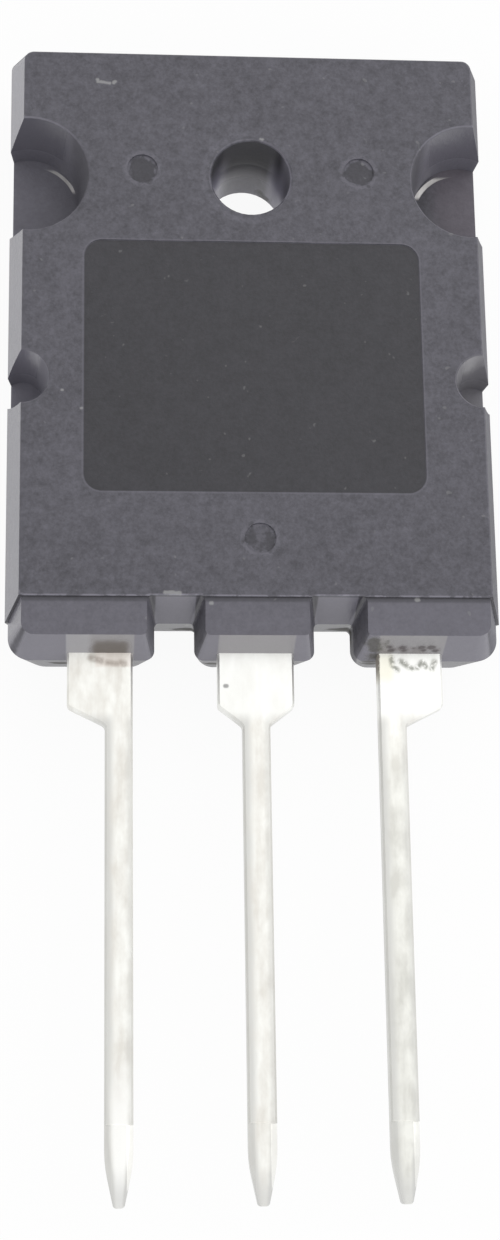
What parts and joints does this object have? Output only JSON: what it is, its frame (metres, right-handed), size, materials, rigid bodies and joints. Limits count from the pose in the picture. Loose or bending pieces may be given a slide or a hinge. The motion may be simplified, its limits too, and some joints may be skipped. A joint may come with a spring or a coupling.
{
  "type": "power transistor",
  "caption": "Flat black moulded power transistor with a screw hole, side notches, a bare heatsink face on the back and stepped leads out of one end.",
  "frame": {"origin": "on the screw hole's axis, in the plane of the heatsink face", "axes": "+Y along the body away from the leads, +Z out of the marked face along the screw hole, +X to the right seen from the marked face with the leads down"},
  "size_m": [0.02, 0.0474, 0.005],
  "materials": {
    "epoxy_mould": "fine matte moulded epoxy",
    "tinned_copper": "dull tin plating over copper",
    "tinned_lead": "bright tin plating",
    "silicon": "polished silicon",
    "solder": "dull solder",
    "bond_wire": "drawn aluminium"
  },
  "bodies": {
    "root": {"mould_body": "epoxy_mould", "heat_spreader": "tinned_copper", "collector_lead": "tinned_lead", "base_lead": "tinned_lead", "emitter_lead": "tinned_lead", "silicon_die": "silicon", "die_solder": "solder", "base_bond_wire": "bond_wire", "emitter_bond_wire_1": "bond_wire", "emitter_bond_wire_2": "bond_wire"}
  },
  "joints": []
}
